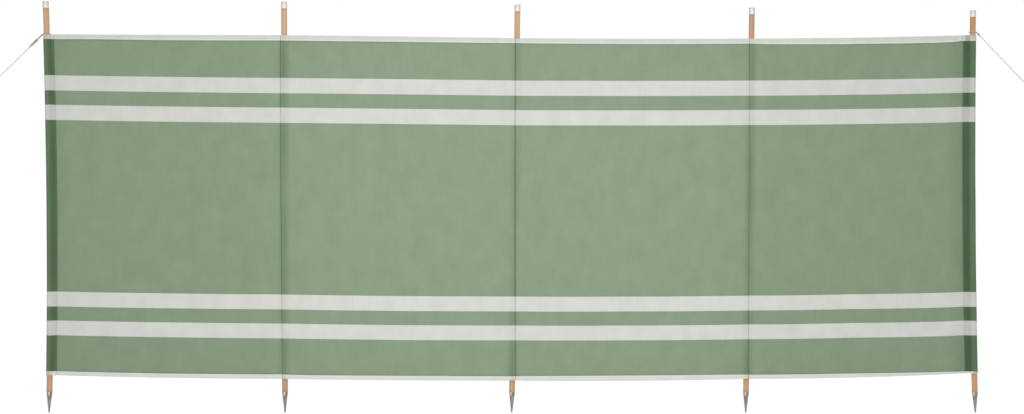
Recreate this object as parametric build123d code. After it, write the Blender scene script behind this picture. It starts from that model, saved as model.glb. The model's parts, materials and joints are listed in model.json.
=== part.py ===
"""Beach windbreak: four bays of hemmed cloth on five wooden poles, with a guy line at each end.

Millimetres, +Z up, +X along the windbreak, front of the cloth towards -Y.
The origin is the blunt tip of the centre pole's spike.
"""
import os
from math import acos, atan2, cos, degrees, hypot, radians, sin, tan

from build123d import *

# ---------------------------------------------------------------- driving dimensions

bay_count = 4
bay_pitch = 855.0

pole_length = 1500.0            # overall, from the spike's tip to the top of the cap
pole_diameter = 21.0

spike_length = 75.0
spike_mouth_diameter = 20.8
spike_tip_diameter = 4.6
spike_wall = 1.0
spike_solid_length = 14.0       # rolled tight towards the tip
spike_seam_mouth = 9.0          # width of the open V seam at the mouth
spike_seam_foot = 0.6           # and where it closes
spike_seam_height = 48.0        # height above the tip at which it closes

cap_length = 23.0
cap_wall = 0.7
cap_fit = 0.15                  # between the pole and the cap pressed over it
cap_rim = 0.6                   # the top edge is flattened outwards this far
cap_rim_height = 3.0

cloth_thickness = 1.2
top_hem_height = 18.0
bottom_hem_height = 15.0
hem_fold = 1.0                  # the folded hem stands this far in front of the cloth
seam_gap = 0.4                  # between two bays where they turn into a pinched seam

sleeve_wall = 1.2
sleeve_slack = 0.5              # between a pole and its sleeve
pinch_depth = 3.8               # from the sleeve's tube forward to the front cloth
pinch_width = 2.6               # two layers of cloth, stitched together
left_sleeve_width = 38.3
right_sleeve_width = 49.4
end_seam_setback = 4.0          # the end seams lie this far in front of the poles' middles

fit_gap = 0.3                   # between pieces that touch in use
loft_sections = 5               # of a sleeve or a sheet of cloth

guy_diameter = 3.0
guy_angle = 45.2                # below the horizontal
ground_height = 140.0           # the sand lies this far above the spikes' tips
guy_foot_rise = 15.0            # the line meets its peg this far above the sand
left_turn_rise = 1.9            # from the end sleeve's top edge to the level turn round the pole
right_turn_rise = 13.0
turn_lead = 1.0                 # the line bends down this far outside that turn
strand_offset = 2.6             # half the distance between the two strands in a runner
strand_bend_radius = 8.0
peg_eye_length = 36.0           # from the middle of what an eye goes round to its knot
pole_eye_length = 26.0

left_runner_distance = 48.0     # along the line, from the left-hand pole's middle
right_runner_distance = 210.0   # along the line, from the right-hand peg
runner_length = 31.0
runner_width = 11.0
runner_thickness = 6.0
runner_hole_diameter = 3.8
runner_edge_radius = 1.5

knot_radius = 3.2
knot_bulge = 1.3                # each turn of the knot stands out this far
knot_turns = 3
knot_turn_length = 3.6
stop_knot_radius = 3.2
stop_knot_length = 6.0

peg_length = 190.0
peg_diameter = 5.0
peg_grip = 14.0                 # from the hook's start down to the line
peg_hook_radius = 7.5
peg_hook_tail = 9.0
peg_lean = 24.0                 # the top leans away from the windbreak
peg_point_length = 14.0
peg_point_diameter = 1.4

# ---------------------------------------------------------------- how this one stands

pole_count = bay_count + 1
poles = range(pole_count)
bays = range(bay_count)
last = pole_count - 1
station = [(i - bay_count / 2) * bay_pitch for i in poles]

# Along X from each station: the spike's tip, the cap's top, and how far the pole bows at mid height.
pole_foot_shift = [30.0, 26.0, 0.0, 13.0, 22.5]
pole_head_shift = [8.0, 13.0, 12.0, 27.0, 4.0]
pole_bow = [11.0, 0.0, 0.0, 0.0, -9.0]

# The left-hand pole is sawn a little shorter than the others.
pole_short = [9.0, 0.0, 0.0, 0.0, 0.0]

# Along X from each station: the seam at the cloth's lower and upper edge.
seam_foot_shift = [24.0, 19.0, 12.0, 19.0, 22.0]
seam_head_shift = [5.0, 3.0, 4.0, 15.0, 10.0]

# At each pole, how far the cloth's edges lie above the spike's tip and below the cap's top.
foot_clear = [136.0, 125.0, 120.0, 127.0, 147.0]
head_clear = [119.5, 123.5, 125.0, 116.0, 93.0]

# In each bay, the sag of the cloth's edges, and how far the cloth billows forwards.
edge_sag = [1.5, 0.5, 2.5, 4.0]
billow = [8.0, 10.0, 9.0, 7.0]

# Turn of each spike's open seam about its pole, from straight ahead.
spike_seam_turn = [2.0, -10.0, -32.0, -28.0, -45.0]

# ---------------------------------------------------------------- worked out from the above

pole_radius = pole_diameter / 2
tube_inner = pole_radius + sleeve_slack
tube_outer = tube_inner + sleeve_wall
pinch_y = -(tube_outer + pinch_depth)
cloth_y = pinch_y - fit_gap - cloth_thickness / 2
pole_top = [pole_length - short for short in pole_short]
cloth_foot = foot_clear
cloth_head = [top - clear for top, clear in zip(pole_top, head_clear)]
margin = 40.0                   # how far the cutting shapes reach past what they cut
low_plan = min(cloth_foot) - margin
high_plan = max(cloth_head) + margin


def pole_x(i, z):
    """X of pole i's middle at height z."""
    t = z / pole_length
    foot = station[i] + pole_foot_shift[i]
    head = station[i] + pole_head_shift[i]
    return foot + (head - foot) * t + 4 * pole_bow[i] * t * (1 - t)


def pole_plane(i, z):
    """A plane square to pole i at height z, with its Z up along the pole."""
    step = 0.5
    slope = (pole_x(i, z + step) - pole_x(i, z - step)) / (2 * step)
    return Plane(origin=(pole_x(i, z), 0, z), x_dir=(1, 0, -slope), z_dir=(slope, 0, 1))


def seam_x(i, z):
    """X of the seam at station i: pinched at a middle pole, the sleeve's inner edge at an end one."""
    if i == 0:
        return pole_x(i, z) - tube_outer + left_sleeve_width
    if i == last:
        return pole_x(i, z) + tube_outer - right_sleeve_width
    t = (z - cloth_foot[i]) / (cloth_head[i] - cloth_foot[i])
    return station[i] + seam_foot_shift[i] + (seam_head_shift[i] - seam_foot_shift[i]) * t


def seam_y(i):
    """Y of the middle of the bays' cloth at station i."""
    return -end_seam_setback if i in (0, last) else cloth_y


# ---------------------------------------------------------------- poles, caps and spikes

def spike_radius(z):
    """Outer radius of the spike's cone at a height above its tip."""
    tip = spike_tip_diameter / 2
    return tip + (spike_mouth_diameter / 2 - tip) * z / spike_length


def pole(i):
    """A round wooden pole, its foot turned down to a taper that fills the spike."""
    shoulder = spike_length + fit_gap
    top = pole_top[i] - cap_wall - cap_fit
    start, middle, end = [(pole_x(i, z), 0, z) for z in (shoulder, (shoulder + top) / 2, top)]
    path = ThreePointArc(start, middle, end) if pole_bow[i] else Line(start, end)
    shaft = sweep(pole_plane(i, shoulder) * Circle(pole_radius), path)
    foot = spike_solid_length + fit_gap
    wall = spike_wall + fit_gap
    profile = Polyline(
        (0, foot),
        (spike_radius(foot) - wall, foot),
        (spike_radius(spike_length) - wall, spike_length),
        (spike_radius(spike_length) - wall, shoulder + cap_rim_height),
        (0, shoulder + cap_rim_height),
        close=True,
    )
    taper = revolve(make_face(Plane.XZ * profile), Axis.Z)
    return shaft + pole_plane(i, 0) * taper


def pole_cap(i):
    """A pressed metal cap, closed on top, its top edge flattened outwards by the mallet."""
    inner = pole_radius + cap_fit
    outer = inner + cap_wall
    roof = cap_length - cap_wall
    profile = Polyline(
        (0, cap_length),
        (0, roof),
        (inner, roof),
        (inner, 0),
        (outer, 0),
        (outer, cap_length - cap_rim_height),
        (outer + cap_rim, cap_length - cap_rim_height / 3),
        (outer, cap_length),
        close=True,
    )
    cap = revolve(make_face(Plane.XZ * profile), Axis.Z)
    return pole_plane(i, pole_top[i] - cap_length) * cap


def spike(i):
    """Sheet steel rolled into a cone, with a V-shaped seam open at the mouth."""
    profile = Polyline(
        (0, 0),
        (spike_radius(0), 0),
        (spike_radius(spike_length), spike_length),
        (spike_radius(spike_length) - spike_wall, spike_length),
        (spike_radius(spike_solid_length) - spike_wall, spike_solid_length),
        (0, spike_solid_length),
        close=True,
    )
    cone = revolve(make_face(Plane.XZ * profile), Axis.Z)
    rise = (spike_seam_mouth - spike_seam_foot) / (spike_length - spike_seam_height)
    top_width = spike_seam_mouth + rise
    seam = Polyline(
        (-spike_seam_foot / 2, spike_seam_height),
        (spike_seam_foot / 2, spike_seam_height),
        (top_width / 2, spike_length + 1),
        (-top_width / 2, spike_length + 1),
        close=True,
    )
    wedge = extrude(make_face(Plane.XZ * seam), spike_mouth_diameter)
    return pole_plane(i, 0) * (Rot(0, 0, spike_seam_turn[i]) * (cone - wedge))


# ---------------------------------------------------------------- pole sleeves

def loop_face(centre, radius, end_a, end_b, z):
    """Cloth outline at height z: from two end points round the far side of a circle."""
    def tangent(point, side):
        dx, dy = point[0] - centre[0], point[1] - centre[1]
        turn = atan2(dy, dx) + side * acos(radius / hypot(dx, dy))
        return (centre[0] + radius * cos(turn), centre[1] + radius * sin(turn))

    ends = ((end_a[0] + end_b[0]) / 2, (end_a[1] + end_b[1]) / 2)
    reach = hypot(ends[0] - centre[0], ends[1] - centre[1])
    far = (
        centre[0] - radius * (ends[0] - centre[0]) / reach,
        centre[1] - radius * (ends[1] - centre[1]) / reach,
    )
    touch_a, touch_b = tangent(end_a, -1), tangent(end_b, 1)
    lines = [Line(end_a, touch_a), ThreePointArc(touch_a, far, touch_b), Line(touch_b, end_b)]
    if end_a != end_b:
        lines.append(Line(end_b, end_a))
    return Plane.XY.offset(z) * make_face(lines)


def pole_sleeve(i):
    """The cloth looped round pole i and stitched: beside an end pole, in front of a middle one."""
    outer, inner = [], []
    for k in range(loft_sections):
        z = cloth_foot[i] + (cloth_head[i] - cloth_foot[i]) * k / (loft_sections - 1)
        centre = (pole_x(i, z), 0)
        half = pinch_width / 2
        if i in (0, last):
            side = 1 if i == 0 else -1
            edge_x = seam_x(i, z) - side * seam_gap / 2
            end_a = (edge_x, seam_y(i) - side * half)
            end_b = (edge_x, seam_y(i) + side * half)
            apex = (edge_x - side * 2 * sleeve_wall, seam_y(i))
        else:
            end_a = (seam_x(i, z) - half, pinch_y)
            end_b = (seam_x(i, z) + half, pinch_y)
            apex = (seam_x(i, z), pinch_y + 1.5 * sleeve_wall)
        outer.append(loop_face(centre, tube_outer, end_a, end_b, z))
        inner.append(loop_face(centre, tube_inner, apex, apex, z))
    return loft(outer, ruled=True) - loft(inner, ruled=True)


# ---------------------------------------------------------------- cloth bays and hems

def strip(j, front, back):
    """A sheet across bay j, between two depths from the middle of the cloth, taller than the cloth."""
    sections = []
    for k in range(loft_sections):
        z = low_plan + (high_plan - low_plan) * k / (loft_sections - 1)
        x0, x1 = seam_x(j, z) + seam_gap / 2, seam_x(j + 1, z) - seam_gap / 2
        y0, y1 = seam_y(j), seam_y(j + 1)
        middle_x, middle_y = (x0 + x1) / 2, (y0 + y1) / 2 - billow[j]
        outline = [
            ThreePointArc((x0, y0 + front), (middle_x, middle_y + front), (x1, y1 + front)),
            Line((x1, y1 + front), (x1, y1 + back)),
            ThreePointArc((x1, y1 + back), (middle_x, middle_y + back), (x0, y0 + back)),
            Line((x0, y0 + back), (x0, y0 + front)),
        ]
        sections.append(Plane.XY.offset(z) * make_face(outline))
    return loft(sections)


def edge_points(j, edge, offset):
    """Start, middle and end of a line along bay j, at an offset above one edge of the cloth."""
    z0, z1 = edge[j] + offset, edge[j + 1] + offset
    x0, x1 = seam_x(j, z0), seam_x(j + 1, z1)
    return (x0, z0), ((x0 + x1) / 2, (z0 + z1) / 2 - edge_sag[j]), (x1, z1)


def band(j, low, high):
    """A block over bay j that lies between two lines along the cloth, and reaches past its ends."""
    (x0, z0), low_middle, (x1, z1) = low
    (x2, z2), high_middle, (x3, z3) = high
    left, right = min(x0, x2) - margin, max(x1, x3) + margin
    outline = [
        Line((left, z0), (x0, z0)),
        ThreePointArc((x0, z0), low_middle, (x1, z1)),
        Line((x1, z1), (right, z1)),
        Line((right, z1), (right, z3)),
        Line((right, z3), (x3, z3)),
        ThreePointArc((x3, z3), high_middle, (x2, z2)),
        Line((x2, z2), (left, z2)),
        Line((left, z2), (left, z0)),
    ]
    return extrude(Plane.XZ * make_face(outline), 2 * margin, both=True)


def cloth_bay(j):
    """One bay of cloth between its two hems."""
    low = edge_points(j, cloth_foot, bottom_hem_height)
    high = edge_points(j, cloth_head, -top_hem_height)
    return strip(j, -cloth_thickness / 2, cloth_thickness / 2) & band(j, low, high)


def hem(j, edge, low_offset, high_offset):
    """The folded hem along one edge of bay j, thicker than the cloth towards the front."""
    folded = strip(j, -cloth_thickness / 2 - hem_fold, cloth_thickness / 2)
    return folded & band(j, edge_points(j, edge, low_offset), edge_points(j, edge, high_offset))


# ---------------------------------------------------------------- guy lines

guy_radius = guy_diameter / 2
guy_tilt = radians(guy_angle)
knot_length = knot_turns * knot_turn_length
turn_radius = pole_radius + fit_gap + guy_radius
turn_reach = turn_radius + turn_lead


def guy_top(side):
    """Where the line, carried on, meets the middle of its pole; side is -1 at the left, 1 at the right."""
    i = 0 if side < 0 else last
    turn_level = cloth_head[i] + (left_turn_rise if side < 0 else right_turn_rise)
    return Vector(pole_x(i, turn_level), 0, turn_level + turn_reach * tan(guy_tilt))


def guy_span(side):
    """Distance along the line from the pole's middle to the peg's."""
    return (guy_top(side).Z - ground_height - guy_foot_rise) / sin(guy_tilt)


def guy_frame(side):
    """The line's own plane. X runs from what the runner's loop goes round to what the eye goes round."""
    down = Vector(side * cos(guy_tilt), 0, -sin(guy_tilt))
    square = Vector(side * sin(guy_tilt), 0, cos(guy_tilt))
    if side < 0:
        return Plane(origin=guy_top(side), x_dir=down, z_dir=square)
    return Plane(origin=guy_top(side) + down * guy_span(side), x_dir=-down, z_dir=square)


def pole_turn(side):
    """Corners of the cord's level turn round the pole, in the line's frame, from its +Y strand to its -Y one."""
    reach = hypot(turn_reach, strand_offset)
    on = atan2(strand_offset, turn_reach) + acos(turn_radius / reach)
    half_step = radians(22.5)
    corners = [
        (turn_reach, strand_offset),
        (turn_radius * (1 - sin(on)) / cos(on), turn_radius),
        *[(turn_radius * cos(a) / cos(half_step), turn_radius * sin(a) / cos(half_step))
          for a in (5 * half_step, 7 * half_step)],
    ]
    corners = corners + [(out, -y) for out, y in reversed(corners)]
    middle, way = (0, 1) if side < 0 else (guy_span(side), -1)
    level = -turn_reach * tan(guy_tilt)
    return [
        (
            middle + way * (out * cos(guy_tilt) - level * sin(guy_tilt)),
            y,
            out * sin(guy_tilt) + level * cos(guy_tilt),
        )
        for out, y in corners
    ]


# Half the length and width of the cord's turn round a peg, in the line's plane.
peg_turn = (
    (peg_diameter / 2 + fit_gap + guy_radius) / cos(guy_tilt - radians(peg_lean)),
    peg_diameter / 2 + fit_gap + guy_radius,
)


def touch(point, centre, side):
    """The ellipse angle, in degrees, at which a line from a point touches the turn round a peg."""
    u, v = (point[0] - centre) / peg_turn[0], point[1] / peg_turn[1]
    return degrees(atan2(v, u) + side * acos(1 / hypot(u, v)))


def on_turn(centre, angle):
    """A point of the turn round a peg, at an ellipse angle in degrees."""
    return (centre + peg_turn[0] * cos(radians(angle)), peg_turn[1] * sin(radians(angle)))


def guy_line(side):
    """One taut cord: through the runner, round its loop and back, then straight on to a tied eye."""
    distance = left_runner_distance if side < 0 else right_runner_distance
    eye_length = peg_eye_length if side < 0 else pole_eye_length
    end = guy_span(side)
    start = (distance + runner_length, strand_offset)
    split = (end - eye_length, 0)
    tail = (end - eye_length + guy_radius / 2, guy_diameter + fit_gap)
    if side < 0:
        on, off = touch(split, end, 1) - 360, touch(tail, end, -1)
        run = FilletPolyline(start, *pole_turn(side), split, on_turn(end, on), radius=strand_bend_radius)
        path = Wire([
            *run.edges(),
            EllipticalCenterArc((end, 0), *peg_turn, on, arc_size=off - on),
            Line(on_turn(end, off), tail),
        ])
    else:
        mouth, mouth_back = (distance, strand_offset), (distance, -strand_offset)
        on, off = touch(mouth, 0, 1), touch(mouth_back, 0, -1)
        turn = reversed(pole_turn(side))
        path = Wire([
            *FilletPolyline(start, mouth, on_turn(0, on), radius=strand_bend_radius).edges(),
            EllipticalCenterArc((0, 0), *peg_turn, on, arc_size=off + 360 - on),
            *FilletPolyline(
                on_turn(0, off), mouth_back, split, *turn, tail, radius=strand_bend_radius
            ).edges(),
        ])
    section = Plane(origin=start, z_dir=(-1, 0, 0)) * Circle(guy_radius)
    return guy_frame(side) * sweep(section, path)


def guy_runner(side):
    """A flat toggle with two holes along it, for the two strands of its loop."""
    distance = left_runner_distance if side < 0 else right_runner_distance
    bar = Pos(distance + runner_length / 2, 0, 0) * Box(runner_length, runner_width, runner_thickness)
    bar = fillet(bar.edges().filter_by(Axis.X), runner_edge_radius)
    for offset in (-strand_offset, strand_offset):
        hole = Cylinder(runner_hole_diameter / 2, 2 * runner_length, rotation=(0, 90, 0))
        bar = bar - Pos(distance + runner_length / 2, offset, 0) * hole
    return guy_frame(side) * bar


def guy_knots(side):
    """The stopper behind the runner, and the bound knot of the eye with the standing line through it."""
    distance = left_runner_distance if side < 0 else right_runner_distance
    eye_length = peg_eye_length if side < 0 else pole_eye_length
    stop = Cylinder(stop_knot_radius, stop_knot_length, rotation=(0, 90, 0))
    stop = fillet(stop.edges().filter_by(GeomType.CIRCLE), stop_knot_radius / 2)
    stop_middle = distance + runner_length + fit_gap + stop_knot_length / 2
    stop = Pos(stop_middle, stop_knot_radius + fit_gap, 0) * stop

    outline = [Line((0, 0), (0, knot_radius))]
    for k in range(knot_turns):
        u = k * knot_turn_length
        outline.append(ThreePointArc(
            (u, knot_radius),
            (u + knot_turn_length / 2, knot_radius + knot_bulge),
            (u + knot_turn_length, knot_radius),
        ))
    outline.append(Line((knot_length, knot_radius), (knot_length, 0)))
    outline.append(Line((knot_length, 0), (0, 0)))
    barrel = revolve(make_face(outline), Axis.X)
    hole = Cylinder(guy_radius + fit_gap, 3 * knot_length, rotation=(0, 90, 0))
    offset = (guy_diameter + fit_gap) / 2
    barrel = Pos(0, offset, 0) * barrel - hole
    eye_start = guy_span(side) - eye_length - fit_gap - knot_length
    return guy_frame(side) * stop, guy_frame(side) * (Pos(eye_start, 0, 0) * barrel)


def guy_peg(side):
    """A steel wire peg: a pointed shank with its top bent over, away from the windbreak."""
    radius = peg_diameter / 2
    shank = peg_length - peg_hook_radius - radius
    path = Wire([
        Line((0, peg_point_length), (0, shank)),
        ThreePointArc((0, shank), (peg_hook_radius, shank + peg_hook_radius), (2 * peg_hook_radius, shank)),
        Line((2 * peg_hook_radius, shank), (2 * peg_hook_radius, shank - peg_hook_tail)),
    ])
    wire = sweep(Pos(0, peg_point_length, 0) * (Rot(90, 0, 0) * Circle(radius)), path)
    point = Pos(0, peg_point_length / 2, 0) * Rot(90, 0, 0) * Cone(
        radius, peg_point_diameter / 2, peg_point_length
    )
    lean = radians(peg_lean)
    foot = guy_top(side) + Vector(side * cos(guy_tilt), 0, -sin(guy_tilt)) * guy_span(side)
    along = Vector(side * sin(lean), 0, cos(lean))
    outward = Vector(side * cos(lean), 0, -sin(lean))
    frame = Plane(origin=foot - along * (shank - peg_grip), x_dir=outward, z_dir=outward.cross(along))
    return frame * (wire + point)


# ---------------------------------------------------------------- one file for each piece

def write(name, *solids):
    """Writes one node, as one solid or as several that don't touch."""
    shape = solids[0] if len(solids) == 1 else Compound(children=list(solids))
    export_step(shape, f"parts/{name}.step")


os.makedirs("parts", exist_ok=True)
for i in poles:
    write(f"pole_{i + 1}", pole(i))
    write(f"pole_cap_{i + 1}", pole_cap(i))
    write(f"spike_{i + 1}", spike(i))
    write(f"pole_sleeve_{i + 1}", pole_sleeve(i))
for j in bays:
    write(f"cloth_bay_{j + 1}", cloth_bay(j))
    write(f"top_hem_{j + 1}", hem(j, cloth_head, -top_hem_height, 0))
    write(f"bottom_hem_{j + 1}", hem(j, cloth_foot, 0, bottom_hem_height))
for side, end_name in ((-1, "left"), (1, "right")):
    write(f"guy_line_{end_name}", guy_line(side))
    write(f"guy_runner_{end_name}", guy_runner(side))
    write(f"guy_knots_{end_name}", *guy_knots(side))
    write(f"guy_peg_{end_name}", guy_peg(side))
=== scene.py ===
"""Beach windbreak: one long striped cloth in four bays on five wooden poles, with a guy line at each end.

Metres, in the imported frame: +X along the windbreak, the front of the cloth towards -Y, +Z up.
The sections follow the windbreak as it is put together, from the poles to the guy lines.
"""
import json
from math import acos, atan2, cos, exp, hypot, radians, sin, sqrt, tau

import bmesh
import bpy
from mathutils import Matrix, Vector, noise


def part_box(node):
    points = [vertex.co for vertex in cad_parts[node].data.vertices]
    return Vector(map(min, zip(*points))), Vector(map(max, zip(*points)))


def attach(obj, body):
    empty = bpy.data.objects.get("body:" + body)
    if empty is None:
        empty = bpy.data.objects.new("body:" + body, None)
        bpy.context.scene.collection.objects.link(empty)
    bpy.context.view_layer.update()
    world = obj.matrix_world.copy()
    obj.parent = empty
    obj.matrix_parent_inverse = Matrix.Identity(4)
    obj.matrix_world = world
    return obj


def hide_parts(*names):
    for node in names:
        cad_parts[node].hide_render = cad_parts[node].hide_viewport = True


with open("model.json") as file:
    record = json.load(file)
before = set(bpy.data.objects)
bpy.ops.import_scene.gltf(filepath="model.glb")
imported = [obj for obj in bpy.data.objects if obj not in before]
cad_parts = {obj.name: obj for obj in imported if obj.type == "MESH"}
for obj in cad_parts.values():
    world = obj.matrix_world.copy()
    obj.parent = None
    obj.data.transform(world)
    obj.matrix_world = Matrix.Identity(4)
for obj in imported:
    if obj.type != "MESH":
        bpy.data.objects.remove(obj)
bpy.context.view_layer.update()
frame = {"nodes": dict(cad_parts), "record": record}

# ---------------- wooden poles
# Five turned softwood dowels, sanded and left bare. Each leans a little in its own way, and the pull of the
# guy lines bows the outer two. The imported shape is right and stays; the wood takes a straight, fine grain.

pole_names = ("left", "left_middle", "centre", "right_middle", "right")
poles = range(len(pole_names))
last = len(pole_names) - 1
pole_radius = 0.0105


def mount(name):
    """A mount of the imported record."""
    return next(m for m in frame["record"]["mounts"] if m["name"] == name)


pole_lines = []
for i in poles:
    tip = mount(f"{pole_names[i]}_spike_tip")
    low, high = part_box(f"pole_cap_{i + 1}")
    foot_x, lean, cap = tip["pos_m"][0], tip["axis"][0] / tip["axis"][2], (low + high) / 2
    pole_lines.append((foot_x, lean, (cap.x - foot_x - lean * cap.z) / cap.z ** 2))


def pole_x(i, z):
    """X of pole i's middle at height z."""
    foot_x, lean, bend = pole_lines[i]
    return foot_x + lean * z + bend * z * z


def colour(shade):
    """A screen colour of three parts, 0 to 255, as the linear one that a shader takes. Others stay as given."""
    if isinstance(shade, bpy.types.NodeSocket) or len(shade) == 4:
        return shade
    parts = [part / 255 for part in shade]
    return [((part + 0.055) / 1.055) ** 2.4 if part > 0.04 else part / 12.92 for part in parts] + [1.0]


def feed(node, inputs):
    """Sets a node's inputs, each to a plain value or to the socket that feeds it."""
    for name, value in inputs.items():
        if isinstance(value, bpy.types.NodeSocket):
            node.id_data.links.new(value, node.inputs[name])
        else:
            node.inputs[name].default_value = value


def put(kind, inputs, beside=None, **settings):
    """Adds a shader node, in the tree of the first socket that feeds it, or beside a node."""
    fed = [value for value in inputs.values() if isinstance(value, bpy.types.NodeSocket)]
    made = (beside if beside else fed[0]).id_data.nodes.new(f"ShaderNode{kind}")
    for name, value in settings.items():
        setattr(made, name, value)
    feed(made, inputs)
    return made


def sum_of(first, second, operation="ADD"):
    """Arithmetic on two values."""
    return put("Math", {0: first, 1: second}, operation=operation).outputs[0]


def ramp(factor, stops):
    """A colour ramp through (place, colour) stops."""
    made = put("ValToRGB", {"Fac": factor})
    elements = made.color_ramp.elements
    while len(elements) < len(stops):
        elements.new(1.0)
    for element, (place, shade) in zip(elements, stops):
        element.position, element.color = place, colour(shade)
    return made.outputs["Color"]


def blend(share, below, above, mode="MIX"):
    """Mixes two colours."""
    sockets = {0: share, 6: colour(below), 7: colour(above)}
    return put("Mix", sockets, data_type="RGBA", blend_type=mode).outputs[2]


def start_finish(name, **constants):
    """A new material and its shader. Constants are set on the shader's own sockets."""
    material = bpy.data.materials.new(name)
    material.use_nodes = True
    shader = material.node_tree.nodes["Principled BSDF"]
    feed(shader, {socket.replace("_", " "): value for socket, value in constants.items()})
    return material, shader


def in_space(shader):
    """The place of a point, in metres."""
    return put("TexCoord", {}, shader).outputs["Object"]


def axis(place, name):
    """A place's X, Y or Z."""
    return put("SeparateXYZ", {"Vector": place}).outputs[name]


def between(value, start, end):
    """0 where a value is at start, 1 at end, and straight between."""
    return put("MapRange", {"Value": value, "From Min": start, "From Max": end}).outputs["Result"]


def distance(first, second):
    """How far apart two values are."""
    apart = sum_of(first, second, "SUBTRACT")
    return put("Math", {0: apart}, operation="ABSOLUTE").outputs[0]


def noise_at(place, scale, detail=2, roughness=0.5, distortion=0):
    """Noise from 0 to 1 at a place that is first stretched by scale."""
    stretched = put("Mapping", {"Vector": place, "Scale": scale}).outputs["Vector"]
    made = put("TexNoise", {
        "Vector": stretched, "Scale": 1.0, "Detail": detail, "Roughness": roughness, "Distortion": distortion,
    })
    return made.outputs["Fac"]


def cover(shader, shade, height, depth):
    """Gives a shader its colour, and relief from a height of 0 to 1 over a depth in metres."""
    bump = put("Bump", {"Height": height, "Distance": depth, "Strength": 1.0})
    feed(shader, {"Base Color": shade, "Normal": bump.outputs["Normal"]})


def finish_node(node, material):
    """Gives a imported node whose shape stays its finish."""
    piece = frame["nodes"][node]
    piece.data.materials.clear()
    piece.data.materials.append(material)


taper_top = 0.0755  # below this the wood is cut back to a taper, and was never handled
wood_tones = ((205, 165, 128), (216, 175, 137), (211, 174, 133), (201, 157, 123), (191, 144, 104))
foot_tone = (208, 162, 120)  # of all of them near the ground
pale_by, dark_by = 15, -22  # how far the lightest and the darkest grain stand from a pole's own tone


def bare_dowel(i):
    """Softwood cut along the grain: fine straight streaks, with wider bands of growth that wander, and painted shade
    where other parts meet it and deep in the spike.
    """
    material, shader = start_finish(f"bare_dowel_{i + 1}", Roughness=0.6)
    place = in_space(shader)
    height = axis(place, "Z")
    own = put("Mapping", {"Vector": place, "Location": (0.31 * i, 0.17 * i, 0.23 * i)}).outputs["Vector"]
    bands = noise_at(own, (120, 120, 2.2), 2, 0.5, 0.6)
    streaks = noise_at(own, (700, 700, 9), 3, 0.6)
    patches = noise_at(own, (9, 9, 5), 2, 0.5)
    raised = between(height, 0.1, 1.3)
    warm, pale, dark = (
        blend(raised, *([part + more for part in tone] for tone in (foot_tone, wood_tones[i])))
        for more in (0, pale_by, dark_by)
    )
    wood = blend(between(bands, 0.34, 0.5), dark, warm)
    wood = blend(between(bands, 0.5, 0.68), wood, pale)
    for share, grain, light in ((0.35, streaks, pale), (0.25, patches, warm)):
        wood = blend(share, wood, blend(between(grain, 0.35, 0.65), dark, light))
    # Painted shade in grey bands where the wood meets the cap, both edges of the cloth, and the spike's mouth.
    cap_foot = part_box(f"pole_cap_{i + 1}")[0].z
    sleeve_foot, sleeve_top = (end.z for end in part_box(f"pole_sleeve_{i + 1}"))
    for middle, reach, share, shade_colour in (
        (cap_foot, 0.016, 0.6, (162, 148, 130)), (sleeve_top, 0.014, 0.7, (196, 178, 160)),
        (sleeve_foot, 0.012, 0.5, (162, 148, 130)), (taper_top, 0.014, 0.5, (150, 134, 116)),
    ):
        shade_band = between(distance(height, middle), reach, 0.0)
        wood = blend(sum_of(shade_band, share, "MULTIPLY"), wood, shade_colour)
    # Painted shade: the taper's bare wood, pale near the spike's mouth, drawn darker deeper inside the spike.
    taper_in_shade = blend(between(height, 0.055, 0.070), (146, 128, 106), (240, 222, 198))
    wood = blend(sum_of(height, taper_top, "LESS_THAN"), wood, taper_in_shade)
    cover(shader, wood, streaks, 0.00012)
    return material


for i in poles:
    finish_node(f"pole_{i + 1}", bare_dowel(i))

# ---------------- spikes
# Thin steel sheet rolled into a cone round the pole's tapered foot, with its seam left open in a V. The packed
# shape is kept. The steel is dull and grey, scuffed along its length by sand.


def scuffed_steel(name, pale, dark, tint=None):
    """Galvanised steel: soft grey patches, fine scratches along it, and as much brown painted shade at a place as the
    last argument gives.
    """
    material, shader = start_finish(name, Metallic=0.75, Roughness=0.46)
    place = in_space(shader)
    patches = noise_at(place, (160, 160, 60), 3, 0.6)
    scratches = noise_at(place, (1500, 1500, 45), 2, 0.6)
    steel = ramp(patches, ((0.3, dark), (0.7, pale)))
    steel = blend(0.3, steel, ramp(scratches, ((0.35, dark), (0.65, pale))))
    if tint:
        # brown painted shade
        steel = blend(tint(place), steel, (104, 90, 74))
    cover(shader, steel, scratches, 0.00006)
    return material


def spike_shade(i, place):
    """How much brown painted shade spike i takes: beside its sheet's overlapped outer edge near the top, and at its
    mouth.
    """
    height = axis(place, "Z")
    foot_x, lean = pole_lines[i][:2]
    across = sum_of(sum_of(axis(place, "X"), foot_x, "SUBTRACT"), sum_of(height, lean, "MULTIPLY"), "SUBTRACT")
    tint = sum_of(between(across, 0.0, 0.004), between(height, 0.055, 0.068), "MULTIPLY")
    return sum_of(sum_of(tint, between(height, 0.0735, 0.0745), "MAXIMUM"), 0.55, "MULTIPLY")


for i in poles:
    steel = scuffed_steel(f"scuffed_steel_{i + 1}", (159, 158, 154), (110, 109, 105), lambda place: spike_shade(i, place))
    finish_node(f"spike_{i + 1}", steel)

# ---------------- caps
# A cap pressed from thin aluminium closes each pole's top. Its lower edge is rolled, and the mallet has
# spread its upper edge and left the top a little dented.

cap_length, cap_radius, cap_wall = 0.0242, 0.0110, 0.0004
spread_from = 0.0195  # height from which the mallet has spread it
cap_insets = (0.0016, 0.0024, 0.0028, 0.0022)  # rings of faces across its top
cap_rings = (  # height up the cap, and how far out from its plain wall
    (0.0004, 0.0001), (0.0010, 0.0002), (0.0016, 0.0001), (0.0022, 0.0),
    (0.0200, 0.0), (0.0219, 0.0001), (0.0231, 0.0003), (0.0238, 0.0002),
)


def ease(value):
    """0 below 0, 1 above 1, and smooth between."""
    value = min(max(value, 0.0), 1.0)
    return value * value * (3 - 2 * value)


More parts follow.
